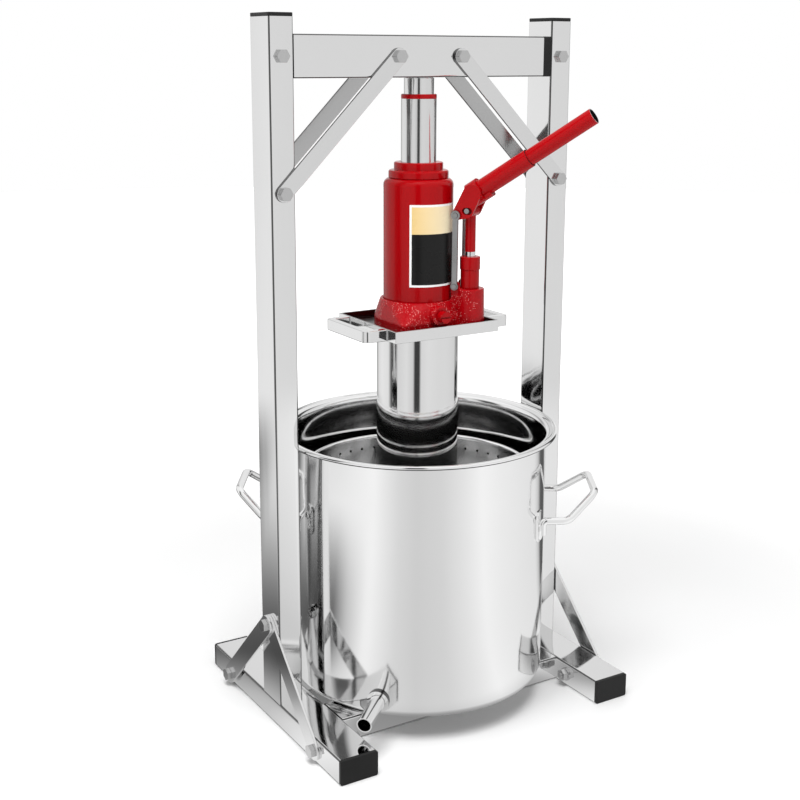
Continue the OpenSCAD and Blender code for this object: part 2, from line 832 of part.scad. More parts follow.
// Bare panel wrapped on the reservoir
module jack_label() color("wheat") at_jack() rotate([0, 0, label_az])
    rotate_extrude(angle = label_turn, $fn = 96)
        translate([tank_r + skin, label_z]) square([label_t, label_h]);

module filler_plug() color(black) at_jack() rotate([0, 0, plug_az])
    pin_x(plug_r - skin, tank_r - tank_wall, tank_r + plug_out, 0, plug_z);

// Ram and extension screw

module ram() {
    color(steel) at_jack() difference() {
        union() {
            translate([0, 0, ram_bottom]) cylinder(r = ram_r, h = ram_top - ram_bottom);
            translate([0, 0, ram_bottom]) cylinder(r = cylinder_bore - running, h = piston_h);
        }
        translate([0, 0, ram_top - screw_bore_l + ring_t])
            cylinder(r = screw_r + running, h = screw_bore_l);
        translate([0, 0, ram_bottom + (piston_h - seal_h) / 2])
            ring(cylinder_bore, cylinder_bore - seal_t, seal_h);
    }
}

module ram_ring() color(red) at_jack() translate([0, 0, ram_top])
    ring(ram_r, screw_r + running, ring_t);

module ram_seal() color(black) at_jack() translate([0, 0, ram_bottom + (piston_h - seal_h) / 2])
    ring(cylinder_bore - running, cylinder_bore - seal_t, seal_h);

module extension_screw() color(steel) at_jack() translate([0, 0, screw_top - screw_out - screw_in])
    cylinder(r = screw_r, h = screw_in + screw_out);

// Pump and lever

module pump_cylinder() {
    color(red) at_pump() translate([pump_off, 0, 0]) difference() {
        union() {
            translate([0, 0, tower_h]) cylinder(r = pump_lower_r, h = pump_lower_h);
            translate([0, 0, tower_h + pump_lower_h]) cylinder(r = pump_upper_r, h = pump_upper_h);
            translate([0, 0, tower_h - seat_depth]) cylinder(r = pump_seat_r, h = 2 * seat_depth);
        }
        cylinder(r = rod_r + running, h = 2 * pivot_z);
    }
}

module pump_rod() {
    color(red) at_link() difference() {
        union() {
            translate([pump_off, 0, pump_floor + rod_floor])
                cylinder(r = rod_r, h = pin_z - pump_floor - rod_floor);
            pin_y(head_r, -head_half, head_half, pump_off, pin_z);
        }
        pin_y(pin_r + running, -2 * head_half, 2 * head_half, pump_off, pin_z);
    }
}

module piston_pin() color(dark) at_link() pin_y(pin_r, -cheek_out, cheek_out, pump_off, pin_z);

module link_straps() {
    color(dark) at_link() for (e = [0, 1]) mirror([0, e, 0]) plate_xz(strap_in, strap_out) difference() {
        union() {
            flat_bar([link_low_u, link_low_z], [link_u, pivot_z], strap_w, pin_r);
            translate([link_low_u, link_low_z]) circle(low_eye_r);
            translate([link_u, pivot_z]) circle(eye_r);
        }
        translate([link_low_u, link_low_z]) circle(pin_r + running);
        translate([link_u, pivot_z]) circle(pin_r + running);
    }
}

// A stub in each ear, because the pump stands between the ears
module link_lower_pin() color(dark) at_link() for (e = [0, 1]) mirror([0, e, 0])
    pin_y(pin_r, ear_in, strap_out + pin_head, link_low_u, link_low_z);

module lever_pivot_pin() color(dark) at_link()
    pin_y(pin_r, -strap_out - pin_head, strap_out + pin_head, link_u, pivot_z);

// Puts a child on the lever's axis, z along the handle
module on_lever() at_link() translate([socket_u, 0, socket_z]) rotate([0, 90 - lever_angle, 0]) children();

// The slot lets the piston's pin move straight up and down while the lever swings
module cheek() {
    difference() {
        hull($fn = base_facets) {
            translate([link_u, pivot_z]) circle(eye_r);
            translate([pump_off, pin_z]) circle(head_r);
            translate([socket_u, socket_z]) circle(socket_r);
        }
        translate([link_u, pivot_z]) circle(pin_r + running);
        translate([pump_off + slot_shift, pin_z]) union() {
            square([2 * slot_half, 2 * slot_r], center = true);
            for (s = [-1, 1]) translate([s * slot_half, 0]) circle(slot_r);
        }
    }
}

module lever_bracket() {
    color(red) {
        at_link() for (e = [0, 1]) mirror([0, e, 0]) plate_xz(cheek_in, cheek_out) cheek();
        on_lever() translate([0, 0, -collar_back]) difference() {
            union() {
                cylinder(r = collar_out, h = collar_l);
                intersection() {
                    cylinder(r = collar_out, h = collar_l + lip_l);
                    translate([0, -collar_out / 2, 0]) cube([collar_out, collar_out, collar_l + lip_l]);
                }
            }
            translate([0, 0, -overrun])
                cylinder(r = socket_r + skin, h = collar_l + lip_l + 2 * overrun);
        }
    }
}

module lever_socket() color(red) on_lever() translate([0, 0, -socket_back])
    ring(socket_r, handle_r + running, socket_l);

module handle_bar() color(red) on_lever() translate([0, 0, socket_l - socket_back - handle_in])
    ring(handle_r, handle_r - handle_wall, handle_in + handle_out);

// Release valve with a screwdriver slot in its knob
module release_valve() {
    color(red) at_jack() difference() {
        union() {
            pin_y(valve_r, -boss_reach, -boss_reach + valve_in - face_gap, valve_x, valve_z);
            pin_y(knob_r, -boss_reach - knob_l, -boss_reach - face_gap, valve_x, valve_z);
            pin_y(valve_r, -boss_reach - knob_l / 2, -boss_reach + face_gap, valve_x, valve_z);
        }
        translate([valve_x, -boss_reach - knob_l, valve_z])
            cube([2 * knob_r, 2 * knob_slot, knob_slot], center = true);
    }
}

left_post();
right_post();
post_top_caps();
top_beam();
beam_end_collar();
beam_tenons();
left_foot();
right_foot();
foot_end_caps();
front_cross_tube();
rear_cross_tube();
front_left_brace();
front_right_brace();
rear_left_brace();
rear_right_brace();
left_front_strut();
left_rear_strut();
right_front_strut();
right_rear_strut();
strut_spacers();
beam_bolts();
brace_bolts();
strut_bolts();
foot_bolts();
bolt_washers();
bolt_nuts();
juice_pot();
right_pot_handle();
left_pot_handle();
spout();
spout_flange();
spout_nut();
basket();
press_plate();
plunger();
jack_tray();
left_tray_handle();
right_tray_handle();
jack_base();
oil_reservoir();
pressure_cylinder();
gland_nut();
jack_label();
filler_plug();
link_straps();
link_lower_pin();
lever_pivot_pin();
pump_cylinder();
ram();
ram_ring();
ram_seal();
extension_screw();
lever_bracket();
lever_socket();
handle_bar();
pump_rod();
piston_pin();
release_valve();
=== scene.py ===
import json
import math

import bmesh
import bpy
from mathutils import Matrix, Vector
from mathutils.kdtree import KDTree


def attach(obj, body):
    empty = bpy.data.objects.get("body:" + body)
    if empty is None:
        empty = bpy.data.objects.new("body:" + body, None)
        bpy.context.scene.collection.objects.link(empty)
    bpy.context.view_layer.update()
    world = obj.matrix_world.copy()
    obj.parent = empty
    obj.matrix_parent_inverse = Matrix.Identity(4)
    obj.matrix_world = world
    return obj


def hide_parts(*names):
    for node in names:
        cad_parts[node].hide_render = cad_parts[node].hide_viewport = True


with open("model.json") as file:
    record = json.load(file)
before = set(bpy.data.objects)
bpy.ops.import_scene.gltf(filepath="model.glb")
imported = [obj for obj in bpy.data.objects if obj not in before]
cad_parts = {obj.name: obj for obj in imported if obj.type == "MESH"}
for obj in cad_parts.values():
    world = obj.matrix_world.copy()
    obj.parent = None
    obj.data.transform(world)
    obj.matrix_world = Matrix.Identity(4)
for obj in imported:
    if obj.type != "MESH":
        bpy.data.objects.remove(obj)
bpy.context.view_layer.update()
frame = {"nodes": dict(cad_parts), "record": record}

# Sizes are in millimetres until a piece is finished, as in the part's source
MM = 0.001
BODY_OF = {node: body for body, nodes in frame["record"]["behaviour"]["bodies"].items() for node in nodes}

# Points nearer than this are merged, and edges sharper than this angle are softened
MERGE, SOFTEN_FROM = 0.001, 40.0

# The camera: its place, its turn in degrees, and its focal length and middle in pixels of the image
IMAGE = 800
SENSOR = 36.0
CAMERA_SPOT = (-782.3, -1246.7, 746.1)
CAMERA_YAW, CAMERA_PITCH, CAMERA_ROLL = 31.5, 12.2, 0.2
FOCAL, MIDDLE_X, MIDDLE_Y = 1310.0, 404.0, 336.0

# The pot
POT_R, POT_Z, SHEET = 150.0, 28.0, 1.2
POT_BEND, POT_FLARE = 9.0, 4.6
LIP_R, LIP_LOW, LIP_TOP = 157.2, 319.8, 321.0
RIM_R, RIM_Z, RIM_WIRE, RIM_FROM = 160.0, 320.4, 2.5, 312.0

# The basket: its sheet, the rows of holes with the grid lines round them, and its feet
BASKET_R, BASKET_Z, BASKET_TOP, BASKET_BEND = 131.4, 39.8, 272.0, 8.0
BASKET_WIRE, BASKET_WIRE_FROM, BASKET_SHADE = 2.4, BASKET_TOP - 2.2, BASKET_TOP - 6
DRAIN_ROWS, DRAIN_COUNT, DRAIN_R = (258.0, 222.0, 186.0, 150.0), 48, 1.8
GRID_BELOW, GRID_ABOVE, DRAIN_FROM = 18.0, 7.0, min(DRAIN_ROWS) - 5
BASKET_FOOT_R, BASKET_FOOT_Z, BASKET_FOOT_OFF = 5.0, 29.3, 105.6

# The pot's handles and its spout; the wire's points are out, aside, up and the radius of the bend
LOOP_AZ = {"right_pot_handle": 328, "left_pot_handle": 148}
LOOP_Z, LOOP_ASIDE, WIRE_R = 226.0, 57.0, 4.25
HALF_WIRE = ((143.6, 58.6, -16), (143.6, 58.6, 0, 5), (173, LOOP_ASIDE, 0, 17), (205, 35, 27, 15))
PAD_HALF, PAD_LOW, PAD_TOP, PAD_THICK, PAD_EDGE = 10.5, -25.5, 11.5, 2.0, 0.9
PAD_TIP_BEND, PAD_TOP_BEND = 9.0, 7.0
WIRE_END, WIRE_END_Z = (3.6, 6.2, 10.5), -13.0
SPOUT_AZ = 222.0

# The press head
PLATE_R, PLATE_Z, PLATE_TOP, BOSS_R, BOSS_TOP = 126.8, 180.0, 186.0, 44.6, 194.0
PLUNGER_R, PLUNGER_BORE, PLUNGER_TOP = 47.0, 45.0, 438.0

# The jack's tank and its label
TANK_R, TANK_BORE, TANK_Z, TANK_TOP = 39.5, 37.0, 470.0, 610.0
TANK_MOUTH, TANK_CEILING, TANK_BEND = 26.0, TANK_TOP - 2.5, 8.0
LABEL_LOW, LABEL_HIGH, LABEL_SPLIT = 491.5, 583.0, 550.5
# The label's start and turn in degrees, its border, and the turn in radians over which its cream is painted
# lighter as a sheen
LABEL_FROM, LABEL_TURN, LABEL_BORDER, LABEL_PAINTED_SHEEN = -136.0, 92.0, 2.4, 0.8

# The gland nut, and the ram with its piston, its ring and its screw
GLAND_BORE, GLAND_NECK_R, GLAND_FLANGE_R, GLAND_R = 20.1, 22.4, 33.8, 27.6
GLAND_Z, GLAND_SEAT, GLAND_FLANGE_TOP, GLAND_TOP = 596.0, 610.1, 618.6, 627.4
PISTON_R, PISTON_Z, PISTON_TOP = 22.0, 530.0, 541.0
RAM_R, RAM_BORE, RAM_FLOOR, RAM_TOP = 19.9, 17.0, 590.0, 696.9
RING_BORE, RING_TOP = 16.9, 701.9
SCREW_R, SCREW_Z, SCREW_TOP = 16.75, 610.0, 719.6

# The pump, and the lever with its handle; heights on the lever are along it
PUMP_AZ, PUMP_OFF = -45.0, 60.0
PUMP_BORE, PUMP_NECK_R, PUMP_R, PUMP_HEAD_R = 6.1, 9.0, 10.6, 11.5
PUMP_Z, PUMP_SEAT, PUMP_HEAD_Z, PUMP_TOP = 483.0, 487.0, 508.5, 523.0
ROD_BARE = 528.5
LEVER_TURN, LEVER_OFF, LEVER_Z, LEVER_ANGLE = -10.0, 6.0, 594.5, 33.5
SOCKET_R, SOCKET_BORE, SOCKET_Z, SOCKET_TOP = 10.5, 9.1, -4.0, 74.0
HANDLE_R, HANDLE_BORE, HANDLE_Z, HANDLE_TOP = 9.0, 7.4, 17.0, 158.0

# Profiles of the turned pieces: radius, height and, where a corner is rounded, its radius
PROFILE = {
    "press_plate": ((0, PLATE_Z), (PLATE_R, PLATE_Z, 2.0), (PLATE_R, PLATE_TOP, 0.6), (BOSS_R, PLATE_TOP),
                    (BOSS_R, BOSS_TOP, 0.6), (0, BOSS_TOP)),
    "plunger": ((PLUNGER_BORE, PLATE_TOP), (PLUNGER_R, PLATE_TOP, 0.5), (PLUNGER_R, PLUNGER_TOP, 0.3),
                (PLUNGER_BORE, PLUNGER_TOP)),
    "oil_reservoir": ((TANK_BORE, TANK_Z), (TANK_R, TANK_Z, 0.4), (TANK_R, TANK_TOP, TANK_BEND),
                      (TANK_MOUTH, TANK_TOP), (TANK_MOUTH, TANK_CEILING), (TANK_BORE, TANK_CEILING)),
    "gland_nut": ((GLAND_BORE, GLAND_Z), (GLAND_NECK_R, GLAND_Z), (GLAND_NECK_R, GLAND_SEAT),
                  (GLAND_FLANGE_R, GLAND_SEAT, 0.8), (GLAND_FLANGE_R, GLAND_FLANGE_TOP, 2.4),
                  (GLAND_R, GLAND_FLANGE_TOP, 0.8), (GLAND_R, GLAND_TOP, 1.6), (GLAND_BORE, GLAND_TOP, 0.6)),
    "ram": ((0, PISTON_Z), (PISTON_R, PISTON_Z), (PISTON_R, PISTON_TOP), (RAM_R, PISTON_TOP),
            (RAM_R, RAM_TOP, 0.3), (RAM_BORE, RAM_TOP), (RAM_BORE, RAM_FLOOR), (0, RAM_FLOOR)),
    "ram_ring": ((RING_BORE, RAM_TOP), (RAM_R, RAM_TOP, 0.5), (RAM_R, RING_TOP, 1.4),
                 (RING_BORE, RING_TOP, 0.5)),
    "extension_screw": ((0, SCREW_Z), (SCREW_R, SCREW_Z, 1.0), (SCREW_R, SCREW_TOP, 1.0), (0, SCREW_TOP)),
    "pump_cylinder": ((PUMP_BORE, PUMP_Z), (PUMP_NECK_R, PUMP_Z), (PUMP_NECK_R, PUMP_SEAT),
                      (PUMP_R, PUMP_SEAT, 0.5), (PUMP_R, PUMP_HEAD_Z, 0.5), (PUMP_HEAD_R, PUMP_HEAD_Z, 0.6),
                      (PUMP_HEAD_R, PUMP_TOP, 1.0), (PUMP_BORE, PUMP_TOP, 0.4)),
    "lever_socket": ((SOCKET_BORE, SOCKET_Z), (SOCKET_R, SOCKET_Z, 0.4), (SOCKET_R, SOCKET_TOP, 0.6),
                     (SOCKET_BORE, SOCKET_TOP, 0.5)),
    "handle_bar": ((HANDLE_BORE, HANDLE_Z), (HANDLE_R, HANDLE_Z, 0.4), (HANDLE_R, HANDLE_TOP, 0.6),
                   (HANDLE_BORE, HANDLE_TOP, 0.5)),
}

# What the steel mirrors: brightness by the turn in degrees from the side on which the camera stands
CAMERA_SIDE = -122.1
ROOM_BANDS = ((-180, 0.84), (-165, 0.80), (-150, 0.30), (-140, 0.80), (-116, 0.92), (-88, 0.86), (-78, 0.10),
              (-66, 0.10), (-58, 0.74), (-30, 0.84), (-12, 0.70), (-7, 0.05), (5, 0.05), (10, 0.78),
              (30, 0.84), (60, 0.80), (85, 0.80), (110, 0.76), (128, 0.70), (133, 0.06), (146, 0.06),
              (152, 0.80), (180, 0.84))
FLOOR_BANDS = ((-180, 0.76), (-150, 0.42), (-136, 0.16), (-120, 0.16), (-109, 0.78), (-95, 0.85), (-34, 1.0),
               (-14, 0.76), (0, 0.69), (20, 0.73), (38, 0.86), (54, 1.0), (72, 0.93), (100, 0.86),
               (120, 0.82), (128, 0.60), (134, 0.10), (146, 0.10), (152, 0.70), (180, 0.76))
# The last bands paint the floor beside the left foot darker as shade, in what the steel mirrors
FOOT_SHADE_BANDS = ((-180, 1.0), (-150, 0.92), (-128, 0.56), (-110, 0.16), (-82, 0.08), (-66, 0.14), (-54, 0.60),
              (-38, 0.96), (180, 1.0))

# Where on the floor these begin and are full, in metres from the middle
FLOOR_R = 6.0
# Under the pot, the floor that the steel mirrors is painted darker as a shadow
HORIZON, FLOOR_TO_ROOM, POT_SHADOW_REACH = (0.5, 1.7), (1.05, 1.6), (0.14, 0.22)
# Where that painted shade beside the left foot begins and ends
FOOT_SHADE_START, FOOT_SHADE_END = (0.13, 0.32), (0.32, 0.95)

# The sine of the angle at which the ceiling begins and is full, and the room's share as light on matt faces
CEILING = (0.5, 0.9)
AMBIENT = 0.40

# Lamps: name, place, aim, size and power
LAMPS = (("lamp_over", (-0.5, -0.55, 2.7), (0, 0, 0.3), 1.8, 78.0),
         ("lamp_side", (-2.2, -0.2, 1.4), (0, 0, 0.5), 1.4, 8.0))


class Sock:
    """A socket in a node tree: sums on it add Math nodes, and node() adds any other node."""

    def __init__(self, tree, link=None):
        self.tree, self.link = tree, link

    def node(self, kind, settings=None, inputs=None, out=0):
        """Adds a node with its settings, a ramp's stops among them, and then its values and links."""
        made = self.tree.nodes.new("ShaderNode" + kind)
        for key, value in (settings or {}).items():
            if key == "stops":
                set_stops(made.color_ramp, value)
            else:
                setattr(made, key, value)
        for key, value in (inputs or {}).items():
            socket = made.inputs[key]
            if isinstance(value, Sock):
                self.tree.links.new(value.link, socket)
            else:
                socket.default_value = (*value, 1) if socket.type == "RGBA" and len(value) == 3 else value
        return Sock(self.tree, made.outputs[out] if made.outputs else None)

    def sum(self, operation, first, second=0.0):
        return self.node("Math", {"operation": operation}, {0: first, 1: second})

    def __add__(self, other):
        return self.sum("ADD", self, other)

    def __sub__(self, other):
        return self.sum("SUBTRACT", self, other)

    def __rsub__(self, other):
        return self.sum("SUBTRACT", other, self)

    def __mul__(self, other):
        return self.sum("MULTIPLY", self, other)

    def __truediv__(self, other):
        return self.sum("DIVIDE", self, other)

    def __rtruediv__(self, other):
        return self.sum("DIVIDE", other, self)

    def __gt__(self, other):
        return self.sum("GREATER_THAN", self, other)

    def __lt__(self, other):
        return self.sum("LESS_THAN", self, other)

    def __abs__(self):
        return self.sum("ABSOLUTE", self)

    __radd__, __rmul__ = __add__, __mul__

    def most(self, other):
        return self.sum("MAXIMUM", self, other)

    def axes(self):
        return [self.node("SeparateXYZ", None, {0: self}, axis) for axis in range(3)]

    def eased(self, ends, start=0.0):
        """A soft step up to 1 between two values."""
        return self.node("MapRange", {"interpolation_type": "SMOOTHSTEP"},
                         {0: self, 1: ends[0], 2: ends[1], 3: start, 4: 1.0})

    def blend(self, low, high):
        return self.node("Mix", {"data_type": "RGBA"}, {0: self, 6: low, 7: high}, out=2)

    def noise(self, scale, detail=3.0, roughness=0.5):
        return self.node("TexNoise", None,
                         {"Vector": self, "Scale": scale, "Detail": detail, "Roughness": roughness})

    def cells(self, scale):
        return self.node("TexVoronoi", None, {"Vector": self, "Scale": scale})

    def bump(self, strength, distance):
        return self.node("Bump", None, {"Height": self, "Strength": strength, "Distance": distance})

    def stretched(self, x, y, z):
        return self.node("Mapping", None, {"Vector": self, "Scale": (x, y, z)})


def tone(value):
    return (value, value, value)


def set_stops(ramp, stops):
    """Greys at places along a colour ramp."""
    ends = ramp.elements
    ends[0].position, ends[1].position = stops[0][0], stops[-1][0]
    for place, _ in stops[1:-1]:
        ends.new(place)
    for stop, (_, grey) in zip(ends, stops):
        stop.color = (*tone(grey), 1)


def empty_tree(owner):
    """Clears the node tree of a material or a world."""
    owner.use_nodes = True
    owner.node_tree.nodes.clear()
    return Sock(owner.node_tree)


def finish(name, build, **facts):
    """A material whose build function gets the Object coordinates and gives the sockets of the shader."""
    made = bpy.data.materials.new(name)
    start = empty_tree(made)
    spot = start.node("TexCoord", None, None, "Object")
    shader = start.node("BsdfPrincipled", None, {**facts, **build(spot)})
    start.node("OutputMaterial", None, {"Surface": shader})
    return made


def polished(name, grey, low, high, wave=0.05):
    """Mirror-polished sheet: faint smears in the gloss and a slow wave in the surface."""
    def build(spot):
        smear = spot.noise(7.0, 5.0, 0.6)
        return {"Base Color": smear.blend(tone(grey), tone(grey * 0.95)),
                "Roughness": smear * (high - low) + low,
                "Normal": spot.noise(16.0, 1.0).bump(wave, 0.002)}
    return finish(name, build, Metallic=1.0)


def red_gloss():
    """Gloss paint on turned pieces."""
    def build(spot):
        cloud = spot.noise(9.0, 4.0)
        return {"Base Color": cloud.blend((0.38, 0.0006, 0.003), (0.33, 0.0003, 0.002)),
                "Roughness": cloud * 0.08 + 0.12,
                "Normal": spot.noise(60.0, 1.0).bump(0.005, 0.0004)}
    coat = {"Coat Weight": 0.16, "Coat Roughness": 0.04, "Specular IOR Level": 0.12}
    return finish("red_gloss_paint", build, **coat)


def red_cast():
    """Paint over a sand casting: grainy, with pits, and small glints painted into the colour as highlights.
    """
    def build(spot):
        grain = spot.noise(330.0, 4.0, 0.65)
        pits = spot.cells(420.0)
        # Small specks painted pale pink in the colour: painted highlights
        painted_glint = (spot.cells(560.0) < 0.22) * (spot.noise(45.0) > 0.48)
        paint = grain.blend((0.28, 0.0005, 0.003), (0.46, 0.002, 0.006))
        return {"Base Color": painted_glint.blend(paint, (0.72, 0.26, 0.25)),
                "Roughness": grain * 0.22 + 0.12,
                "Normal": (grain + pits * 0.6).bump(0.35, 0.0010)}
    coat = {"Coat Weight": 0.12, "Coat Roughness": 0.06, "Specular IOR Level": 0.16}
    return finish("red_cast_paint", build, **coat)


def black_cap():
    """Moulded plastic with a fine grain."""
    def build(spot):
        grain = spot.noise(900.0)
        return {"Base Color": spot.noise(20.0).blend(tone(0.012), tone(0.022)),
                "Roughness": grain * 0.2 + 0.32,
                "Normal": grain.bump(0.12, 0.0004)}
    return finish("black_cap_plastic", build, **{"Specular IOR Level": 0.15})


def ground_chrome():
    """Hard chrome with the fine rings that grinding leaves."""
    def build(spot):
        rings = spot.stretched(1, 1, 900).noise(1.0, 2.0)
        return {"Base Color": rings.blend(tone(0.80), tone(0.74)),
                "Roughness": rings * 0.06 + 0.09,
                "Normal": rings.bump(0.03, 0.0003)}
    return finish("ground_chrome", build, Metallic=1.0)


def bare_strap():
    """Plain steel of straps and pins."""
    def build(spot):
        cloud = spot.noise(60.0, 4.0, 0.6)
        return {"Base Color": cloud.blend(tone(0.26), tone(0.44)),
                "Roughness": cloud * 0.2 + 0.2,
                "Normal": spot.noise(500.0).bump(0.12, 0.0004)}
    return finish("bare_strap_steel", build, Metallic=1.0)


def dull_rubber():
    """Matt rubber of plug and seal."""
    def build(spot):
        grain = spot.noise(600.0)
        return {"Base Color": grain.blend(tone(0.015), tone(0.030)),
                "Roughness": grain * 0.2 + 0.55,
                "Normal": grain.bump(0.15, 0.0004)}
    return finish("dull_rubber", build)


def label_film():
    """Film on the reservoir: a white border round a cream panel over a black one, left bare; the cream is
    painted lighter towards one side as a sheen.
    """
    def build(spot):
        x, y, z = spot.axes()
        turn = spot.sum("ARCTAN2", y, x)
        middle = math.radians(LABEL_FROM + LABEL_TURN / 2)
        across = abs(turn - middle) * (TANK_R * MM)
        half = math.radians(LABEL_TURN / 2) * TANK_R * MM - LABEL_BORDER * MM
        up = abs(z - (LABEL_LOW + LABEL_HIGH) / 2 * MM)
        border = (across > half).most(up > (LABEL_HIGH - LABEL_LOW) / 2 * MM - LABEL_BORDER * MM)
        # The cream is painted lighter towards one side: a painted sheen
        painted_sheen = (turn - middle + LABEL_PAINTED_SHEEN) / (2 * LABEL_PAINTED_SHEEN)
        cream = painted_sheen.blend((0.78, 0.55, 0.22), (0.93, 0.86, 0.66))
        panel = (z > LABEL_SPLIT * MM).blend(tone(0.008), cream)
        return {"Base Color": border.blend(panel, tone(0.88)),
                "Roughness": spot.noise(40.0) * 0.12 + 0.22}
    return finish("label_film", build, **{"Specular IOR Level": 0.2})


def banded(x, y, bands):
    """Brightness by the turn from the side on which the camera stands."""
    side = math.radians(CAMERA_SIDE)
    c, s = math.cos(side), math.sin(side)
    turn = x.sum("ARCTAN2", y * c - x * s, x * c + y * s) / math.tau + 0.5
    stops = [(0.5 + degrees / 360, grey) for degrees, grey in bands]
    return turn.node("ValToRGB", {"stops": stops}, {0: turn})


def pale_floor():
    """White floor that melts into the room; what the steel mirrors of it carries bands like the room's, with
    a painted shadow under the pot and painted shade beside the left foot.
    """
    made = bpy.data.materials.new("pale_floor")
    start = empty_tree(made)
    spot = start.node("TexCoord", None, None, "Object")
    x, y, _ = spot.axes()
    reach = start.sum("SQRT", x * x + y * y)
    plain = start.node("BsdfPrincipled", None, {
        "Base Color": spot.noise(3.0).blend(tone(0.90), tone(0.92)), "Roughness": 0.5,
        "Emission Color": reach.eased(HORIZON).blend(tone(0.0), tone(0.85)), "Emission Strength": 1.0})
    bands = reach.eased(FLOOR_TO_ROOM).blend(banded(x, y, FLOOR_BANDS), banded(x, y, ROOM_BANDS))
    # Painted shade beside the left foot and a painted shadow under the pot, seen only in what the steel
    # mirrors
    side = reach.eased(FOOT_SHADE_START) * (1 - reach.eased(FOOT_SHADE_END))
    clear = side.blend(tone(1.0), banded(x, y, FOOT_SHADE_BANDS))
    painted_shadow_scale = reach.eased(POT_SHADOW_REACH, 0.45) * clear
    mirrored = start.node("Emission", None, {"Color": painted_shadow_scale.blend(tone(0.0), bands), "Strength": 1.0})
    seen = start.node("LightPath", None, None, "Is Glossy Ray")
    shader = start.node("MixShader", None, {0: seen, 1: plain, 2: mirrored})
    start.node("OutputMaterial", None, {"Surface": shader})
    return made


# Polished steel: brightness, lowest and highest roughness, and the wave of the sheet
TUBE = polished("polished_tube", 0.85, 0.05, 0.10)
# Near-black steel as painted shade: on the corners of the tubes, the narrow sides of the braces, the tray's
# inner walls, the sides of the spout's flange and under the pot's bead
PAINTED_EDGE_SHADE = polished("painted_edge_shade_steel", 0.14, 0.12, 0.20)
BAR = polished("polished_bar", 0.80, 0.08, 0.18)
# The rear braces are the same steel, painted darker as shade behind the front ones
SHADED_REAR_BAR = polished("rear_bar_painted_shade", 0.52, 0.14, 0.24)
TRAY_FLOOR = polished("satin_tray", 0.40, 0.34, 0.48)
BOLT = polished("bolt_steel", 0.58, 0.14, 0.26)
POT_OUT = polished("pot_outside", 0.92, 0.07, 0.12, 0.02)
POT_IN = polished("pot_inside", 0.92, 0.05, 0.09)
# The pot's inner wall beside the basket, the same sheet painted dark as shade deep in the pot
POT_DEEP_SHADE = polished("pot_beside_basket_painted_shade", 0.34, 0.08, 0.14)
BASKET = polished("basket_sheet", 0.82, 0.10, 0.16)
BEAD = polished("rolled_rim", 0.96, 0.03, 0.06)
PLUNGER = polished("plunger_tube", 0.86, 0.04, 0.08)
RED, CAST, CAP, CHROME = red_gloss(), red_cast(), black_cap(), ground_chrome()
STRAP, RUBBER, LABEL = bare_strap(), dull_rubber(), label_film()
# Near-black steel as painted shade in the lever's bores, on the socket's upper end and in the basket's holes
BORE_SHADE = polished("painted_bore_shade", 0.03, 0.4, 0.6)


def rounded(*points, steps=6, size=2):
    """The points as vectors; one with a fillet radius after its coordinates becomes an arc."""
    spots = [Vector(p[:size]) for p in points]
    line = []
    for i, p in enumerate(points):
        if len(p) == size:
            line.append(spots[i])
            continue
        here, before, after = spots[i], spots[i - 1], spots[(i + 1) % len(spots)]
        a, b = (before - here).normalized(), (after - here).normalized()
        half = a.angle(b) / 2
        middle = here + (a + b).normalized() * (p[size] / math.sin(half))
        start, end = here + a * (p[size] / math.tan(half)), here + b * (p[size] / math.tan(half))
        turn = (start - middle).angle(end - middle)
        for k in range(steps + 1):
            share = k / steps
            arm = (start - middle) * math.sin((1 - share) * turn) + (end - middle) * math.sin(share * turn)
            line.append(middle + arm / math.sin(turn))
    return line


def arc(middle, radius, start, turn, steps):
    """Points on a circle, from an angle in degrees on through a turn."""
    angles = [math.radians(start + turn * k / steps) for k in range(steps + 1)]
    return [Vector((middle[0] + radius * math.cos(a), middle[1] + radius * math.sin(a))) for a in angles]


def turned(line, steps=128, closed=True):
    """A profile of (radius, height) spun about the Z axis."""
    bm = bmesh.new()
    verts = [bm.verts.new((p[0], 0, p[1])) for p in line]
    pairs = list(zip(verts, verts[1:])) + ([(verts[-1], verts[0])] if closed else [])
    edges = [bm.edges.new(pair) for pair in pairs]
    bmesh.ops.spin(bm, geom=verts + edges, cent=(0, 0, 0), axis=(0, 0, 1), angle=math.tau, steps=steps,
                   use_merge=True)
    tidy(bm)
    return bm


def tidy(bm):
    """Merges points that meet and turns the faces outwards."""
    bmesh.ops.remove_doubles(bm, verts=bm.verts, dist=MERGE)
    bmesh.ops.recalc_face_normals(bm, faces=bm.faces)


def turn_about(degrees, axis="Z"):
    return Matrix.Rotation(math.radians(degrees), 4, axis)


def at_pump():
    return turn_about(PUMP_AZ) @ Matrix.Translation((PUMP_OFF, 0, 0))


def on_lever():
    pivot = Matrix.Translation((LEVER_OFF, 0, LEVER_Z))
    return at_pump() @ turn_about(LEVER_TURN) @ pivot @ turn_about(90 - LEVER_ANGLE, "Y")


def join(bm, other, place=None):
    """Adds another shape to a bmesh."""
    if place:
        bmesh.ops.transform(other, matrix=place, verts=other.verts)
    mesh = bpy.data.meshes.new("shape")
    other.to_mesh(mesh)
    other.free()
    bm.from_mesh(mesh)
    bpy.data.meshes.remove(mesh)


def split(bm, spot, normal):
    """Cuts all faces along a plane and keeps both sides."""
    bmesh.ops.bisect_plane(bm, geom=bm.verts[:] + bm.edges[:] + bm.faces[:], plane_co=spot, plane_no=normal)


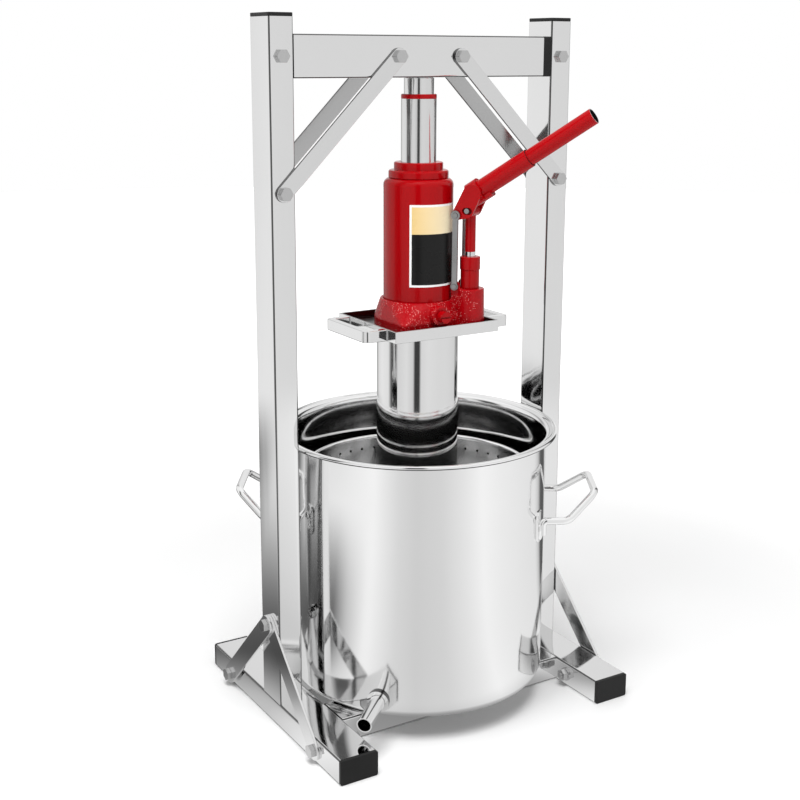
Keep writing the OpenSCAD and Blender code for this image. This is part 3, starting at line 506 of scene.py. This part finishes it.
def cad_copy(node, flat=1.0):
    """The merged solid of a CAD node in millimetres, with its flat faces whole."""
    bm = bmesh.new()
    bm.from_mesh(frame["nodes"][node].data)
    bmesh.ops.scale(bm, vec=(1 / MM,) * 3, verts=bm.verts)
    bmesh.ops.remove_doubles(bm, verts=bm.verts, dist=MERGE)
    bmesh.ops.dissolve_limit(bm, angle_limit=math.radians(flat), verts=bm.verts, edges=bm.edges)
    return bm


def swept(line, radius):
    """A round wire along a line of points."""
    curve = bpy.data.curves.new("path", "CURVE")
    curve.dimensions, curve.bevel_depth, curve.bevel_resolution, curve.use_fill_caps = "3D", radius, 5, True
    path = curve.splines.new("POLY")
    path.points.add(len(line) - 1)
    for point, spot in zip(path.points, line):
        point.co = (*spot, 1)
    holder = bpy.data.objects.new("path", curve)
    mesh = bpy.data.meshes.new_from_object(holder)
    bm = bmesh.new()
    bm.from_mesh(mesh)
    bpy.data.objects.remove(holder)
    bpy.data.curves.remove(curve)
    bpy.data.meshes.remove(mesh)
    tidy(bm)
    return bm


def cast(bm, grain, rounds):
    """One closed skin over a shape, rounded as a sand casting is."""
    mesh = bpy.data.meshes.new("casting")
    bm.to_mesh(mesh)
    bm.free()
    holder = bpy.data.objects.new("casting", mesh)
    bpy.context.scene.collection.objects.link(holder)
    skin = holder.modifiers.new("skin", "REMESH")
    skin.mode, skin.voxel_size = "VOXEL", grain
    ease = holder.modifiers.new("ease", "SMOOTH")
    ease.factor, ease.iterations = 0.5, rounds
    made = bpy.data.meshes.new_from_object(holder.evaluated_get(bpy.context.evaluated_depsgraph_get()))
    bm = bmesh.new()
    bm.from_mesh(made)
    bpy.data.objects.remove(holder)
    bpy.data.meshes.remove(mesh)
    bpy.data.meshes.remove(made)
    return bm


def soften(bm, width, segments=2):
    """Rounds the sharp edges."""
    least = math.radians(SOFTEN_FROM)
    sharp = [e for e in bm.edges if len(e.link_faces) == 2 and e.calc_face_angle(0.0) > least]
    bmesh.ops.bevel(bm, geom=sharp, offset=width, affect="EDGES", segments=segments, profile=0.5, material=-1,
                    clamp_overlap=True)


def outward(spot, normal):
    """How far a face looks away from the Z axis, times its distance."""
    return spot.x * normal.x + spot.y * normal.y


def show(node, bm, *finishes, choose=None, sharp=35.0, weighted=False):
    """Turns a shape into the piece that stands for a CAD node; choose gives the finish of a face."""
    bmesh.ops.scale(bm, vec=(MM,) * 3, verts=bm.verts)
    mesh = bpy.data.meshes.new(node + "_look")
    for face in bm.faces:
        face.smooth = True
        if choose:
            face.material_index = choose(face.calc_center_median() / MM, face.normal)
    bm.to_mesh(mesh)
    bm.free()
    mesh.set_sharp_from_angle(angle=math.radians(sharp))
    for made in finishes:
        mesh.materials.append(made)
    piece = bpy.data.objects.new(node + "_look", mesh)
    bpy.context.scene.collection.objects.link(piece)
    if weighted:
        smooth = piece.modifiers.new("face_weights", "WEIGHTED_NORMAL")
        smooth.keep_sharp = True
    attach(piece, BODY_OF[node])
    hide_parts(node)


def show_soft(nodes, made, width, segments=2):
    """Pieces that are the CAD solid with softened edges."""
    for node in nodes:
        bm = cad_copy(node)
        soften(bm, width, segments)
        show(node, bm, made, weighted=True)


def show_turned(node, made):
    show(node, turned(rounded(*PROFILE[node])), made)


def on_corner(spot, normal):
    """1 on the bent corners of a tube, painted dark as shade, 0 on its flats."""
    return int(sorted(abs(v) for v in normal)[1] > 0.35)


def square_tubes():
    for node in ("left_post", "right_post", "top_beam", "left_foot", "right_foot", "front_cross_tube",
                 "rear_cross_tube"):
        show(node, cad_copy(node), TUBE, PAINTED_EDGE_SHADE, choose=on_corner, sharp=50)


def on_edge(spot, normal):
    """1 on the narrow sides of a brace, painted dark as shade."""
    return int(abs(normal.y) < 0.6)


def flat_bars():
    for node, made, choose in (
            ("front_left_brace", BAR, on_edge), ("front_right_brace", BAR, on_edge),
            ("rear_left_brace", SHADED_REAR_BAR, on_edge), ("rear_right_brace", SHADED_REAR_BAR, on_edge),
            ("left_front_strut", BAR, None), ("left_rear_strut", BAR, None),
            ("right_front_strut", BAR, None), ("right_rear_strut", BAR, None)):
        bm = cad_copy(node)
        soften(bm, 0.5)
        show(node, bm, made, PAINTED_EDGE_SHADE, choose=choose, weighted=True)


def fasteners():
    show_soft(("beam_bolts", "brace_bolts", "strut_bolts", "foot_bolts"), BOLT, 0.8, 3)
    show_soft(("bolt_washers", "bolt_nuts", "strut_spacers", "spout_nut"), BOLT, 0.35)


def plastic_caps():
    show_soft(("post_top_caps", "beam_end_collar", "foot_end_caps"), CAP, 0.8, 3)


def pot():
    """Sheet pot with a flared lip, rolled to a bead."""
    inside, floor = POT_R - SHEET, POT_Z + SHEET
    line = rounded((0, POT_Z), (POT_R, POT_Z, POT_BEND), (POT_R, BASKET_TOP), (POT_R, LIP_LOW, POT_FLARE),
                   (LIP_R, LIP_LOW))
    line += arc((RIM_R, RIM_Z), RIM_WIRE, 200, 320, 20)
    line += rounded((LIP_R, LIP_TOP), (inside, LIP_TOP, POT_FLARE + SHEET), (inside, BASKET_SHADE),
                    (inside, floor, POT_BEND - SHEET), (0, floor))

    def side(spot, normal):
        """0 outside, 1 inside above the basket, 2 on the rim, 3 beside the basket, painted dark as shade, 4
        under the bead, painted dark as shade.
        """
        out = math.hypot(spot.x, spot.y)
        if out > POT_R + 1 and spot.z > RIM_FROM:
            return 4 if out > RIM_R and normal.z < -0.34 else 2
        if outward(spot, normal) >= 0 and normal.z <= 0.5:
            return 0
        return 1 if spot.z > BASKET_SHADE else 3
    show("juice_pot", turned(line, 180), POT_OUT, POT_IN, BEAD, POT_DEEP_SHADE, PAINTED_EDGE_SHADE, choose=side)


def basket():
    """Perforated sheet: the corners of a grid are cut to round holes before the sheet gets its thickness."""
    rows = sorted(DRAIN_ROWS)
    heights = [rows[0] - GRID_BELOW] + [row + rise for row in rows for rise in (0, GRID_ABOVE)] + [BASKET_TOP]
    line = rounded((0, BASKET_Z), (BASKET_R, BASKET_Z, BASKET_BEND), (BASKET_R, heights[0]))
    line += [Vector((BASKET_R, z)) for z in heights[1:]]
    bm = turned(line, 2 * DRAIN_COUNT, closed=False)
    step = math.tau / (2 * DRAIN_COUNT)
    holes = []
    for v in bm.verts:
        row = [k for k, z in enumerate(DRAIN_ROWS) if abs(v.co.z - z) < 0.01]
        if row and math.hypot(v.co.x, v.co.y) > BASKET_R - 1:
            column = round(math.atan2(v.co.y, v.co.x) / step)
            if (column - row[0]) % 2 == 0:
                holes.append(v)
    middles = KDTree(len(holes))
    for k, v in enumerate(holes):
        middles.insert(v.co, k)
    middles.balance()
    cut = bmesh.ops.bevel(bm, geom=holes, offset=DRAIN_R, affect="VERTICES", segments=3, profile=0.5,
                          material=-1)
    bmesh.ops.delete(bm, geom=cut["faces"], context="FACES")
    for v in bm.verts:
        middle, _, reach = middles.find(v.co)
        if reach < 1.01 * DRAIN_R:
            v.co = middle + (v.co - middle).normalized() * DRAIN_R
    bmesh.ops.recalc_face_normals(bm, faces=bm.faces)
    bmesh.ops.solidify(bm, geom=bm.faces[:], thickness=SHEET)
    join(bm, turned(arc((BASKET_R, BASKET_TOP), BASKET_WIRE, 0, 360, 14)[:-1], 180))
    foot = rounded((0, BASKET_FOOT_Z), (BASKET_FOOT_R, BASKET_FOOT_Z, 1), (BASKET_FOOT_R, BASKET_Z),
                   (0, BASKET_Z))
    for spot in arc((0, 0), BASKET_FOOT_OFF, 45, 270, 3):
        join(bm, turned(foot, 24), Matrix.Translation((*spot, 0)))

    def part(spot, normal):
        """0 on the sheet, 1 on the wire of the rim, 2 in the holes, painted dark as shade."""
        if spot.z > BASKET_WIRE_FROM:
            return 1
        out = abs(outward(spot, normal)) / max(1.0, math.hypot(spot.x, spot.y))
        return 2 if out < 0.6 and spot.z > DRAIN_FROM else 0
    show("basket", bm, BASKET, BEAD, BORE_SHADE, choose=part, sharp=40)


def tray_part(spot, normal):
    """1 on the tray's floor and the tops of its walls, 2 on the walls' inner sides, painted dark as shade."""
    if normal.z > 0.9:
        return 1
    return 2 if outward(spot, normal) < 0 else 0


def press_head():
    show_turned("press_plate", PLUNGER)
    show_turned("plunger", PLUNGER)
    for node, width, choose in (("jack_tray", 0.6, tray_part), ("left_tray_handle", 1.2, None),
                                ("right_tray_handle", 1.2, None)):
        bm = cad_copy(node)
        soften(bm, width, 3)
        show(node, bm, TUBE, TRAY_FLOOR, PAINTED_EDGE_SHADE, choose=choose, weighted=True)


def handle_pad():
    """Tongue-shaped plate, bent to the pot."""
    bm = bmesh.new()
    line = rounded((-PAD_HALF, PAD_LOW, PAD_TIP_BEND), (PAD_HALF, PAD_LOW, PAD_TIP_BEND),
                   (PAD_HALF, PAD_TOP, PAD_TOP_BEND), (-PAD_HALF, PAD_TOP, PAD_TOP_BEND))
    bm.faces.new([bm.verts.new((0, *p)) for p in line])
    for cut in range(-8, 9, 2):
        split(bm, (0, cut, 0), (0, 1, 0))
    raised = bmesh.ops.extrude_face_region(bm, geom=bm.faces[:])
    top = [v for v in raised["geom"] if isinstance(v, bmesh.types.BMVert)]
    bmesh.ops.translate(bm, vec=(PAD_THICK, 0, 0), verts=top)
    bmesh.ops.recalc_face_normals(bm, faces=bm.faces)
    rim = [e for e in bm.edges
           if e.calc_face_angle(0.0) > 1.0 and all(v.co.x > PAD_THICK / 2 for v in e.verts)]
    bmesh.ops.bevel(bm, geom=rim, offset=PAD_EDGE, affect="EDGES", segments=3, profile=0.5, material=-1)
    for v in bm.verts:
        out, turn = POT_R + v.co.x, v.co.y / POT_R
        v.co.x, v.co.y = out * math.cos(turn), out * math.sin(turn)
    return bm


def wire_end():
    """The wire's flattened end on its pad."""
    bm = bmesh.new()
    bmesh.ops.create_uvsphere(bm, u_segments=24, v_segments=14, radius=1.0)
    bmesh.ops.scale(bm, vec=WIRE_END, verts=bm.verts)
    bmesh.ops.translate(bm, vec=(POT_R + PAD_THICK, 0, WIRE_END_Z), verts=bm.verts)
    return bm


def pot_handles():
    """Bent wire between two pads on each side of the pot."""
    lean = math.degrees(math.asin(LOOP_ASIDE / POT_R))
    other_half = [(out, -aside, *rest) for out, aside, *rest in reversed(HALF_WIRE)]
    for node, az in LOOP_AZ.items():
        bm = swept(rounded(*HALF_WIRE, *other_half, steps=9, size=3), WIRE_R)
        for side in (-1, 1):
            join(bm, handle_pad(), turn_about(side * lean))
            join(bm, wire_end(), turn_about(side * lean))
        bmesh.ops.transform(bm, matrix=turn_about(az) @ Matrix.Translation((0, 0, LOOP_Z)), verts=bm.verts)
        show(node, bm, BEAD, sharp=50)


def drain_spout():
    out = Vector((math.cos(math.radians(SPOUT_AZ)), math.sin(math.radians(SPOUT_AZ)), 0))
    # The sides of the flange are painted dark as shade
    show("spout_flange", cad_copy("spout_flange", 0.2), BEAD, PAINTED_EDGE_SHADE, sharp=40,
         choose=lambda spot, normal: int(abs(normal.dot(out)) < 0.6))
    show("spout", cad_copy("spout", 0.2), BEAD, sharp=40)


def jack():
    show_turned("oil_reservoir", RED)
    show_turned("gland_nut", RED)
    show("jack_base", cast(cad_copy("jack_base"), 0.9, 5), CAST, sharp=70)
    show("jack_label", cad_copy("jack_label", 0.1), LABEL)
    show_turned("ram", CHROME)
    show_turned("ram_ring", RED)
    show_turned("extension_screw", CHROME)
    show_soft(("filler_plug", "ram_seal"), RUBBER, 0.4)
    show_soft(("link_straps", "link_lower_pin", "lever_pivot_pin", "piston_pin"), STRAP, 0.4)
    show_soft(("lever_bracket", "release_valve"), RED, 0.4)
    show_soft(("pressure_cylinder", "beam_tenons"), STRAP, 0.4)


def tube_end(spot, normal):
    """0 outside, 1 in the bore, painted dark as shade, 2 on the upper end."""
    if outward(spot, normal) < -1:
        return 1
    return 2 if normal.z > 0.9 else 0


def socket_end(spot, normal):
    """1 on the upper end, painted dark as shade."""
    return int(normal.z > 0.5)


def show_placed(node, steps, place, *finishes, choose=None):
    """A turned piece whose finishes are chosen upright, before it is put in its place."""
    bm = turned(rounded(*PROFILE[node]), steps)
    if choose:
        for face in bm.faces:
            face.material_index = choose(face.calc_center_median(), face.normal)
    bmesh.ops.transform(bm, matrix=place, verts=bm.verts)
    show(node, bm, *finishes)


def pump():
    show_placed("pump_cylinder", 64, at_pump(), RED)
    rod = cad_copy("pump_rod")
    split(rod, (0, 0, ROD_BARE), (0, 0, 1))
    soften(rod, 0.5)
    show("pump_rod", rod, RED, CHROME, choose=lambda spot, normal: int(spot.z < ROD_BARE), weighted=True)
    show_placed("lever_socket", 72, on_lever(), RED, BORE_SHADE, choose=socket_end)
    show_placed("handle_bar", 72, on_lever(), RED, BORE_SHADE, BEAD, choose=tube_end)


def white_room():
    """The world: white to the camera, banded for the steel to mirror, and dimmed as light."""
    world = bpy.data.worlds.new("studio")
    bpy.context.scene.world = world
    start = empty_tree(world)
    x, y, z = start.node("TexCoord", None, None, "Generated").axes()
    room = z.eased(CEILING).blend(banded(x, y, ROOM_BANDS), tone(0.95))
    seen = start.node("LightPath", None, None, "Is Camera Ray")
    soft = start.node("LightPath", None, None, "Is Diffuse Ray") * (1 - AMBIENT)
    lit = soft.blend(room, tone(0.0))
    sky = start.node("Background", None, {"Color": seen.blend(lit, tone(1.0)), "Strength": 1.0})
    start.node("OutputWorld", None, {"Surface": sky})


def studio():
    """White room, pale floor and two wide lamps."""
    white_room()
    mesh = bpy.data.meshes.new("floor")
    bm = bmesh.new()
    bmesh.ops.create_circle(bm, cap_ends=True, radius=FLOOR_R, segments=96)
    bm.to_mesh(mesh)
    bm.free()
    mesh.materials.append(pale_floor())
    floor = bpy.data.objects.new("floor", mesh)
    bpy.context.scene.collection.objects.link(floor)

    for name, spot, aim, size, power in LAMPS:
        lamp = bpy.data.lights.new(name, "AREA")
        lamp.size, lamp.energy = size, power
        holder = bpy.data.objects.new(name, lamp)
        holder.location = spot
        holder.visible_glossy = False
        holder.rotation_euler = (Vector(aim) - Vector(spot)).to_track_quat("-Z", "Y").to_euler()
        bpy.context.scene.collection.objects.link(holder)
    bpy.context.scene.view_settings.view_transform = "Standard"


def camera():
    data = bpy.data.cameras.new("camera")
    data.sensor_width = SENSOR
    data.lens = SENSOR * FOCAL / IMAGE
    data.shift_x, data.shift_y = (IMAGE / 2 - MIDDLE_X) / IMAGE, (MIDDLE_Y - IMAGE / 2) / IMAGE
    holder = bpy.data.objects.new("camera", data)
    holder.matrix_world = (Matrix.Translation(Vector(CAMERA_SPOT) * MM) @ turn_about(-CAMERA_YAW)
                           @ turn_about(90 - CAMERA_PITCH, "X") @ turn_about(CAMERA_ROLL))
    bpy.context.scene.collection.objects.link(holder)
    bpy.context.scene.camera = holder


camera()
studio()
for build in (square_tubes, flat_bars, fasteners, plastic_caps, pot, basket, press_head, pot_handles,
              drain_spout, jack, pump):
    build()

bpy.context.view_layer.update()
